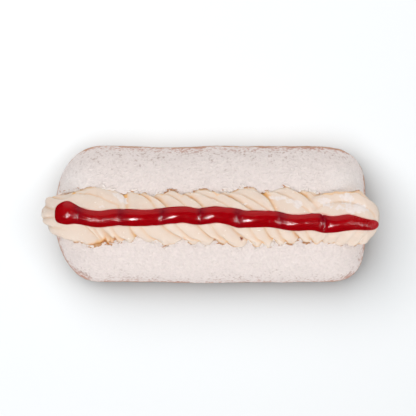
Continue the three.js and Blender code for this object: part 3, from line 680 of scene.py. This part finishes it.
def jam_line(x):
    """Centre line of the jam in plan: a slow line with a sway, a cosine wave from crest to crest."""
    count = np.interp(x, JAM_SWAY_CRESTS, np.arange(len(JAM_SWAY_CRESTS)))
    sway = JAM_SWAY * np.cos(2 * np.pi * count) * smooth_step(*JAM_SWAY_START, x)
    return smooth_line(JAM_LINE_X, JAM_LINE_Y, x) + sway * jam_ends(x)


def jam_ends(x):
    """1 along the jam, rounded off to 0 at its two ends: a blunt superellipse and a quarter-round."""
    into_start = 1 - clamp01((x - JAM_START_X) / JAM_START_ROUND)
    return super_arc(into_start, JAM_START_POWER) * round_end(JAM_END_X - x, JAM_END_ROUND)


def jam_taper(x):
    """1 along the jam, falling in a straight line to a half at the tip."""
    return 0.5 + 0.5 * clamp01((JAM_END_X - x) / JAM_TIP_LENGTH)


def jam_blob(x):
    """The blob where the jam was begun, 0 to 1: a bell curve."""
    return bell((x - JAM_BLOB_X) / JAM_BLOB_LENGTH)


def jam_half_width(x):
    """Half width of the jam: wider at the blob and where the bag was stopped, tapered to the tip and
    rounded off."""
    stops = sum(JAM_STOP_BULGE * bell((x - stop) / JAM_STOP_LENGTH) for stop in JAM_STOPS)
    return (JAM_HALF_WIDTH + stops + JAM_BLOB * jam_blob(x)) * jam_taper(x) * jam_ends(x)


def make_jam(material):
    """The line of jam: a low arch over the cream's crest, its height (1 - u^m)^n for u across it, carried
    along its wavy line, swelling with each squeeze, with a blob at the start, a bowed dent where it laps over
    itself and a drooping tip."""
    middle, half = (JAM_START_X + JAM_END_X) / 2, (JAM_END_X - JAM_START_X) / 2
    x = (middle + half * crowded_places(JAM_ROWS))[:, None]
    turn = np.linspace(-np.pi / 2, 3 * np.pi / 2, JAM_COLUMNS + 1)[:-1][None, :]
    across, up = np.cos(turn), np.sin(turn)
    top = (JAM_THICKNESS + JAM_PULSE_RISE * jam_pulse(x) + JAM_BLOB_RISE * jam_blob(x)) * jam_taper(x)
    rise = np.where(up > 0, top, JAM_SINK) * jam_ends(x)
    arch = (1 - np.abs(across) ** JAM_CROWN_FLAT) ** JAM_CROWN_POWER
    dent = bell((x - JAM_JOINT_X - JAM_JOINT_BOW * up ** 2) / JAM_JOINT_WIDTH)
    y = jam_line(x) + jam_half_width(x) * across
    z = cream_crest(x) + rise * np.where(up > 0, arch, up)
    z = z - JAM_JOINT * dent * np.where(up > 0, arch, 0.0) ** 2
    points = np.stack(np.broadcast_arrays(x, y, z), axis=-1)
    lumps = JAM_LUMP * rough_noise(*np.moveaxis(points, -1, 0), JAM_LUMP_SIZE, 81, 2)
    points = points + grid_normals(points) * lumps[..., None]
    px = points[..., 0]
    from_mark = px[..., None] - np.array(JAM_PULSE_EDGES[1:-1])
    mark = bell(from_mark / np.where(from_mark > 0, JAM_MARK_AFTER, JAM_MARK_BEFORE)).max(axis=-1)
    ripple = np.maximum(np.interp(px, JAM_RIPPLE_X, JAM_RIPPLE), JAM_MARK_RIPPLE * mark)
    values = {
        "thin": np.broadcast_to(smooth_step(*JAM_THIN_TIP, x), px.shape),
        # painted shade where each squeeze begins, most on the upper half
        "start": mark * (0.35 + 0.65 * smooth_step(-0.4, 0.5, across)),
        "ripple": ripple,
    }
    poles = [[end, float(smooth_line(JAM_LINE_X, JAM_LINE_Y, end)), float(cream_crest(end))]
             for end in (JAM_START_X, JAM_END_X)]
    pole_values = {"thin": (0, 1), "ripple": (JAM_RIPPLE[0], JAM_RIPPLE[-1])}
    return closed_mesh("jam_line", points, poles, material, "jam", values, pole_values)


# Crumbs along the lips

def bun_top(x, y):
    """Height of the bun's upper side over a place in plan: its crown, or its split's wall inside the lips."""
    share = clamp01(np.abs(y) / np.maximum(bun_half_width(x, np.sign(y)), 1e-6))
    z = BUN_WAIST + (BUN_HEIGHT - BUN_WAIST) * bun_crown(x) * super_arc(share, BUN_CROWN_POWER)
    return smooth_min(z, split_wall(x, y), LIP_ROUNDING)


def cream_edge(x, side):
    """Points along one lip where the rope goes under the bun: the outermost that stand over the bun."""
    turn = np.linspace(0.0, 1.2, 160)[None, :]
    points, _ = cream_shape(x[:, None], turn if side > 0 else np.pi - turn)
    over = points[..., 2] > bun_top(points[..., 0], points[..., 1]) + 0.05
    return points[np.arange(len(x)), np.argmax(over, axis=1)]


def rope_top(x, y):
    """Height of the rope's upper side over a place in plan, zero beside it: the nearest of many points."""
    points, _ = cream_shape(x[:, None], np.linspace(0.0, np.pi, 240)[None, :])
    gap = np.abs(points[..., 1] - y[:, None])
    row, nearest = np.arange(len(x)), np.argmin(gap, axis=1)
    return np.where(gap[row, nearest] < 0.5, points[row, nearest, 2], 0.0)


def from_lip(x, y):
    """How far a place in plan lies inside the nearer lip's line, where the rope goes under the bun."""
    along = np.linspace(-CREAM_HALF, CREAM_HALF, 400)
    upper, lower = cream_edge(along, 1.0), cream_edge(along, -1.0)
    return np.minimum(np.interp(x, upper[:, 0], upper[:, 1]) - y, y - np.interp(x, lower[:, 0], lower[:, 1]))


def lip_stain(x, y, inside):
    """Browned edge of the crust along the lips, partly painted shade of the crease where the rope meets them,
    0 to 1: a thin line that comes and goes, and is whole along the right end of the upper lip."""
    comes = smooth_step(-0.25, 0.35, rough_noise(x, np.sign(y) * SIDES_APART, 0, 4.0, 99))
    comes = np.maximum(comes, smooth_step(*LIP_LINE_SOLID, x) * (y > 0))
    line = smooth_step(LIP_LINE, 0.3 * LIP_LINE, np.abs(inside))
    return line * comes * smooth_step(*LIP_LINE_END, np.abs(x))


def scatter(name, places, sizes, seed, material):
    """Small lumpy grains: spheres of a few rings, each stretched, turned and dented by random numbers."""
    random = np.random.default_rng(seed)
    a = (np.pi * np.arange(1, GRAIN_RINGS + 1) / (GRAIN_RINGS + 1))[:, None]
    b = 2 * np.pi * np.arange(GRAIN_COLUMNS) / GRAIN_COLUMNS
    ball = np.broadcast_arrays(np.sin(a) * np.cos(b), np.sin(a) * np.sin(b), np.cos(a))
    ball = np.concatenate([np.stack(ball, axis=-1).reshape(-1, 3), [[0, 0, 1], [0, 0, -1]]])
    n, m = len(places), len(ball)
    dents = random.uniform(0.75, 1.15, (n, m, 1))
    shape = ball[None] * dents * sizes[:, None, :]
    heading = random.uniform(-0.7, 0.7, n)[:, None]
    x = shape[..., 0] * np.cos(heading) - shape[..., 1] * np.sin(heading)
    y = shape[..., 0] * np.sin(heading) + shape[..., 1] * np.cos(heading)
    verts = np.stack([x, y, shape[..., 2]], axis=-1) + places[:, None, :]
    shift = (np.arange(n) * m)[:, None, None]
    outward = [np.roll(part[:, ::-1], 1, axis=1) for part in ring_faces(GRAIN_RINGS, GRAIN_COLUMNS)]
    faces = sum(((part[None] + shift).reshape(-1, part.shape[1]).tolist() for part in outward), [])
    return put_mesh(name, verts.reshape(-1, 3) * MM, faces, material)


def lip_places(count, seed, spread):
    """Random places along both lips, thick in some stretches and in the rope's grooves, thin in others."""
    random = np.random.default_rng(seed)
    found = []
    for side in (1.0, -1.0):
        s = random.uniform(-CRUMB_REACH, CRUMB_REACH, 6 * count)
        _, _, groove = rope_swell(s, np.full_like(s, 0.0 if side > 0 else np.pi))
        thick = 1.1 * groove + 0.7 * soft_noise(s, side * CRUMB_SIDES_APART, 0, 9.0, seed)
        s = s[random.uniform(0, 1, len(s)) < thick][:count]
        place = cream_edge(s, side)
        place[:, 1] += side * random.normal(CRUMB_OUT, spread, len(s))
        on_bun = bun_top(place[:, 0], place[:, 1])
        place[:, 2] = np.maximum(place[:, 2] - CRUMB_SINK, on_bun) + CRUMB_LIFT
        found.append(place)
    return np.concatenate(found)


def torn_skin(count, beside):
    """Places along a strip of torn sugared skin on the rope by the upper lip's left end, or beside it."""
    share = np.linspace(0.0, 1.0, count)
    x, y = TORN_X + TORN_LENGTH * share, TORN_Y + TORN_SLANT * share + beside
    return np.stack([x, y, np.maximum(bun_top(x, y), rope_top(x, y)) + CRUMB_LIFT], axis=-1)


def make_crumbs(sugar, crust):
    """Clots of icing sugar and flakes of crust that the rope has pushed up along both lips, and torn skin."""
    random = np.random.default_rng(5)
    clots = np.concatenate([lip_places(CLOTS_PER_LIP, 7, CLOT_SPREAD), torn_skin(TORN_CLOTS, 0.0)])
    flakes = np.concatenate([lip_places(FLAKES_PER_LIP, 8, FLAKE_SPREAD),
                             torn_skin(TORN_FLAKES, TORN_FLAKES_BESIDE)])
    clot_sizes = random.uniform(0.35, 1.0, (len(clots), 1)) * CLOT_SIZE
    clot_sizes[-TORN_CLOTS:] = random.uniform(0.8, 1.0, (TORN_CLOTS, 1)) * TORN_CLOT_SIZE
    flake_sizes = random.uniform(0.22, 0.55, (len(flakes), 1)) * FLAKE_SIZE
    return [
        scatter("sugar_clots", clots, clot_sizes, 17, sugar),
        scatter("crust_flakes", flakes, flake_sizes, 18, crust),
    ]


# Finishes

class Nodes:
    """A short way to add nodes to a tree and join them. A value is a number, a colour or a node's output."""

    def __init__(self, tree):
        self.tree = tree
        self.link = tree.links.new

    def add(self, kind, **settings):
        """A node with its settings, and constant values for its inputs."""
        node = self.tree.nodes.new(kind)
        for key, value in settings.items():
            if hasattr(node, key):
                setattr(node, key, value)
            else:
                node.inputs[key].default_value = value
        return node

    def put(self, value, socket):
        """A value on an input."""
        if isinstance(value, bpy.types.NodeSocket):
            self.link(value, socket)
        else:
            socket.default_value = (*value, 1.0) if isinstance(value, tuple) else value

    def place(self):
        """The place on the object."""
        return self.add("ShaderNodeTexCoord").outputs["Object"]

    def attribute(self, name):
        """A value that the mesh carries."""
        return self.add("ShaderNodeAttribute", attribute_name=name).outputs["Fac"]

    def noise(self, place, scale, detail, **settings):
        """Noise over a place, 0 to 1."""
        node = self.add("ShaderNodeTexNoise", Scale=scale, Detail=detail, **settings)
        self.link(place, node.inputs["Vector"])
        return node.outputs["Fac"]

    def mix(self, share, first, second):
        """From the first colour to the second with a share."""
        node = self.add("ShaderNodeMix", data_type="RGBA")
        for value, socket in ((share, node.inputs[0]), (first, node.inputs[6]), (second, node.inputs[7])):
            self.put(value, socket)
        return node.outputs[2]

    def layers(self, colour, **over):
        """Colours laid over a colour one after another, each by a value that the mesh carries."""
        for name, next_colour in over.items():
            colour = self.mix(self.attribute(name), colour, next_colour)
        return colour

    def between(self, value, low, high, start=0.0, end=1.0, blend="LINEAR"):
        """From start to end as a value goes from low to high."""
        limits = {"From Min": low, "From Max": high, "To Min": start, "To Max": end}
        node = self.add("ShaderNodeMapRange", interpolation_type=blend, **limits)
        self.link(value, node.inputs["Value"])
        return node.outputs[0]

    def work_out(self, operation, *values):
        """A maths operation on values."""
        node = self.add("ShaderNodeMath", operation=operation)
        for value, socket in zip(values, node.inputs):
            self.put(value, socket)
        return node.outputs[0]

    def bump(self, height, shader, strength, distance):
        """Fine relief of a height on the shader's surface."""
        node = self.add("ShaderNodeBump", Strength=strength, Distance=distance)
        self.link(height, node.inputs["Height"])
        self.link(node.outputs["Normal"], shader.inputs["Normal"])


def new_material(name, **settings):
    """A material, its shader with constant settings (underscores for a label's spaces), and its nodes."""
    material = bpy.data.materials.new(name)
    material.use_nodes = True
    shader = material.node_tree.nodes["Principled BSDF"]
    for label, value in settings.items():
        shader.inputs[label.replace("_", " ")].default_value = value
    return material, shader, Nodes(material.node_tree)


def sugar_coat_group():
    """Shared effect: icing sugar over a colour. Where the amount falls, specks of the colour come through.
    The sugar is painted darker in the hollows of its grain: painted shade.
    """
    group = bpy.data.node_groups.new("sugar_coat", "ShaderNodeTree")
    ways = {"INPUT": ("Under", "Shade", "Light", "Amount"), "OUTPUT": ("Color", "Height")}
    for way, labels in ways.items():
        for label in labels:
            kind = "NodeSocketFloat" if label in ("Amount", "Height") else "NodeSocketColor"
            group.interface.new_socket(label, in_out=way, socket_type=kind)
    nodes = Nodes(group)
    given, out = nodes.add("NodeGroupInput").outputs, nodes.add("NodeGroupOutput").inputs
    place = nodes.place()
    specks = nodes.noise(place, scale=750.0, detail=2.0)
    clots = nodes.noise(place, scale=290.0, detail=4.0, Roughness=0.65, Distortion=0.6)
    both = nodes.add("ShaderNodeMix", data_type="FLOAT", Factor=0.42)
    nodes.link(specks, both.inputs[2])
    nodes.link(clots, both.inputs[3])
    height = both.outputs[0]
    cover = nodes.between(nodes.work_out("ADD", given["Amount"], height), 1.02, 1.2, blend="SMOOTHSTEP")
    # Painted shade: the sugar darker where its grain's height is low, lighter where high
    white = nodes.mix(nodes.between(height, 0.35, 0.65), given["Shade"], given["Light"])
    nodes.link(nodes.mix(cover, given["Under"], white), out["Color"])
    nodes.link(height, out["Height"])


def sugar_coat(nodes, under, amount, shade, light):
    """The outputs, Color and Height, of the sugar coat over a colour."""
    node = nodes.add("ShaderNodeGroup", node_tree=bpy.data.node_groups["sugar_coat"])
    for label, value in (("Under", under), ("Amount", amount), ("Shade", shade), ("Light", light)):
        nodes.put(value, node.inputs[label])
    return node.outputs


def bun_finish():
    """Crust, rosy at the rim, golden on the flank, browned at the foot, and browned along the lips as crust
    and painted shade of their crease, under sugar.
    """
    material, shader, nodes = new_material("sugared_crust", Roughness=0.9)
    place = nodes.place()
    rim = nodes.mix(nodes.noise(place, scale=450.0, detail=3.0), RIM_PALE, RIM_RED)
    golden = nodes.mix(nodes.noise(place, scale=70.0, detail=4.0), FLANK_GOLD, FLANK_BROWN)
    colour = nodes.layers(
        rim, crown=CROWN_BARE, flank=golden, foot=FOOT_BROWN, crumb=CRUMB_INSIDE, lip=LIP_BROWN)
    coat = sugar_coat(nodes, colour, nodes.attribute("sugar"), SUGAR_SHADE, SUGAR_LIGHT)
    # The sugar painted whiter by the upper lip near both ends: painted light
    nodes.link(nodes.layers(coat["Color"], drift=SUGAR_DRIFTED), shader.inputs["Base Color"])
    nodes.bump(coat["Height"], shader, strength=1.0, distance=0.0016)
    return material


def cream_finish():
    """Satin cream with painted shade deeper in its grooves, pale flecks painted as glints, a pit painted dark
    as shade and crumb, a bubble painted dark as its shade, a painted pink glow round the jam, and some sugar.
    """
    material, shader, nodes = new_material(
        "piped_cream", Roughness=0.26, Specular_IOR_Level=0.2,
        Subsurface_Weight=1.0, Subsurface_Radius=(0.6, 0.6, 0.6), Subsurface_Scale=0.0024)
    place = nodes.place()
    colour = nodes.mix(nodes.noise(place, scale=150.0, detail=3.0), CREAM_CREST, CREAM_BLUSH)
    # Tiny pale flecks painted into the colour as glints on the cream: painted highlights
    flecks = nodes.between(nodes.noise(place, scale=900.0, detail=0.0), 0.76, 0.86, blend="SMOOTHSTEP")
    colour = nodes.mix(flecks, colour, CREAM_FLECK)
    # Layers of painted shade and light: deeper in the grooves, dark in the pit and the bubble, pink round the
    # jam
    colour = nodes.layers(colour, groove=CREAM_DEEP, pit=PIT_BROWN, bubble=BUBBLE_BROWN, stain=CREAM_JAMMY)
    coat = sugar_coat(nodes, colour, nodes.attribute("dust"), DUST_SHADE, DUST_LIGHT)
    nodes.link(coat["Color"], shader.inputs["Base Color"])
    nodes.bump(nodes.noise(place, scale=700.0, detail=2.0), shader, strength=0.3, distance=0.0005)
    return material


def jam_finish():
    """Clear red jam, painted darker as shade where each squeeze begins and dents it, pale at its thin tip,
    with a rippled wet skin.
    """
    material, shader, nodes = new_material(
        "red_jam", IOR=1.45, Specular_IOR_Level=0.3,
        Subsurface_Weight=0.8, Subsurface_Radius=(1.0, 0.3, 0.3), Subsurface_Scale=0.002)
    place = nodes.place()
    colour = nodes.mix(nodes.noise(place, scale=420.0, detail=3.0), JAM_DEEP, JAM_BRIGHT)
    # Painted shade where each squeeze begins; paler at the thin tip
    nodes.link(nodes.layers(colour, start=JAM_MARK, thin=JAM_THIN), shader.inputs["Base Color"])
    stretched = nodes.add("ShaderNodeMapping", Scale=(1.0, 0.4, 1.0))
    nodes.link(place, stretched.inputs["Vector"])
    grains = nodes.noise(stretched.outputs[0], scale=1500.0, detail=2.0)
    ripple = nodes.attribute("ripple")
    wet = nodes.between(grains, 0.42, 0.62, 0.05, 0.16)
    nodes.link(nodes.work_out("MULTIPLY_ADD", ripple, 0.06, wet), shader.inputs["Roughness"])
    height, gain = nodes.work_out("SUBTRACT", grains, 0.5), nodes.work_out("MULTIPLY", ripple, 4.0)
    ripples = nodes.work_out("MULTIPLY_ADD", height, gain, nodes.noise(place, scale=800.0, detail=1.0))
    nodes.bump(ripples, shader, strength=1.0, distance=0.00004)
    return material


def clot_finish():
    """Clots of sugar, a little of the crust showing through."""
    material, shader, nodes = new_material("sugar_clots", Roughness=0.9)
    coat = sugar_coat(nodes, CLOT_UNDER, 0.8, CLOT_SHADE, CLOT_LIGHT)
    nodes.link(coat["Color"], shader.inputs["Base Color"])
    return material


def flake_finish():
    """Browned crust, mottled."""
    material, shader, nodes = new_material("crust_flakes", Roughness=0.7)
    colour = nodes.mix(nodes.noise(nodes.place(), scale=300.0, detail=2.0), FLAKE_DARK, FLAKE_PALE)
    nodes.link(colour, shader.inputs["Base Color"])
    return material


# Floor and lights

def area_light(name, radiance, size, direction, distance, only, mirrored=False):
    """A soft rectangular light of an even radiance, at a distance along a direction from the rope and facing
    it, that lights the objects of one collection, by scattered light or else in reflections alone."""
    lamp = bpy.data.lights.new(name, "AREA")
    lamp.shape = "RECTANGLE"
    lamp.size, lamp.size_y = size
    lamp.energy = radiance * math.pi * size[0] * size[1]
    light = new_object(name, lamp)
    way = Vector(direction).normalized()
    light.location = LIT_POINT + distance * way
    light.rotation_euler = way.to_track_quat("Z", "Y").to_euler()
    light.visible_camera = False
    light.visible_diffuse, light.visible_glossy = not mirrored, mirrored
    light.light_linking.receiver_collection = only


def make_floor():
    """A wide pale floor under the bun."""
    mesh = bpy.data.meshes.new("floor")
    corners = [(-1, -1), (1, -1), (1, 1), (-1, 1)]
    mesh.from_pydata([(FLOOR_HALF * x, FLOOR_HALF * y, 0) for x, y in corners], [], [(0, 1, 2, 3)])
    floor = new_object("floor", mesh)
    material, _, _ = new_material("pale_floor", Base_Color=(*FLOOR_PALE, 1.0), Roughness=0.9)
    mesh.materials.append(material)
    floor.visible_glossy = False
    return floor


def group_of(name, *objects):
    """A collection of objects for one light, outside the scene's own."""
    group = bpy.data.collections.new(name)
    for item in objects:
        group.objects.link(item)
    return group


def tilt(degrees_front, degrees_side=0.0):
    """Direction that leans from straight up towards the front (-Y) and the right (+X)."""
    a, b = math.radians(degrees_front), math.radians(degrees_side)
    return (math.tan(b), -math.tan(a), 1.0)


# The bun, its lights and the camera

sugar_coat_group()
bun = make_bun(bun_finish())
cream = make_cream(cream_finish())
jam = make_jam(jam_finish())
food = [bun, cream, jam, *make_crumbs(clot_finish(), flake_finish())]
for piece in food:
    piece.visible_glossy = False  # the jam mirrors its softboxes, and not the white food round it
jam.visible_shadow = False  # the clear jam throws no dark shadow on the cream beside it

on_floor = group_of("lit_floor", make_floor())
on_food = group_of("lit_food", *food)
on_cream = group_of("lit_cream", cream)
on_jam = group_of("lit_jam", jam)
area_light("key_softbox", 8.0, (0.4, 0.6), tilt(32), 1.2, on_food)
for name, way in (("left_softbox", -1.0), ("right_softbox", 1.0)):
    area_light(name, 1.7, (1.2, 1.2), (way, 0.05, 0.9), 1.5, on_food)
area_light("back_softbox", 1.1, (3.0, 1.3), (0.0, 1.0, 0.45), 1.4, on_food)
area_light("front_softbox", 0.65, (3.0, 1.3), (0.0, -1.0, 0.45), 1.4, on_food)
area_light("glint_softbox", 48.0, (0.34, 0.56), tilt(18, -10), 1.2, on_jam, mirrored=True)
area_light("patch_softbox", 17.0, (0.3, 0.8), tilt(18, 52), 1.2, on_jam, mirrored=True)
area_light("back_fill_softbox", 2.5, (1.0, 0.7), (0.0, 1.0, 0.9), 1.3, on_jam)
area_light("band_softbox", 0.72, (1.6, 2.5), (0.0, 1.0, 0.21), 1.2, on_jam, mirrored=True)
area_light("sheen_softbox", 18.0, (0.5, 0.5), tilt(10), 1.1, on_cream, mirrored=True)
area_light("groove_softbox", 0.47, (1.2, 1.2), (0.6, 1.0, 0.6), 1.4, on_cream)
area_light("strand_softbox", 0.45, (1.2, 1.2), (0.0, -1.0, 0.6), 1.4, on_cream)
area_light("floor_softbox", 5.4, (1.7, 2.3), (-0.2, 0.22, 1.0), 1.4, on_floor)

world = bpy.data.worlds.new("studio")
bpy.context.scene.world = world
world.use_nodes = True
background = world.node_tree.nodes["Background"]
background.inputs["Color"].default_value = (1, 1, 1, 1)
background.inputs["Strength"].default_value = WORLD_STRENGTH
world.cycles_visibility.glossy = False

lens = bpy.data.cameras.new("camera")
camera = new_object("camera", lens)
camera.location = (
    (PIXELS / 2 - ORIGIN_PIXEL_X) * PIXEL_MM * MM,
    (ORIGIN_PIXEL_Y - PIXELS / 2) * PIXEL_MM * MM,
    REFERENCE_HEIGHT + CAMERA_DISTANCE,
)
camera.rotation_euler = (0, 0, 0)
lens.sensor_width = SENSOR_WIDTH
lens.lens = SENSOR_WIDTH * CAMERA_DISTANCE / (PIXELS * PIXEL_MM * MM)
bpy.context.scene.camera = camera
bpy.context.scene.view_settings.view_transform = "Standard"
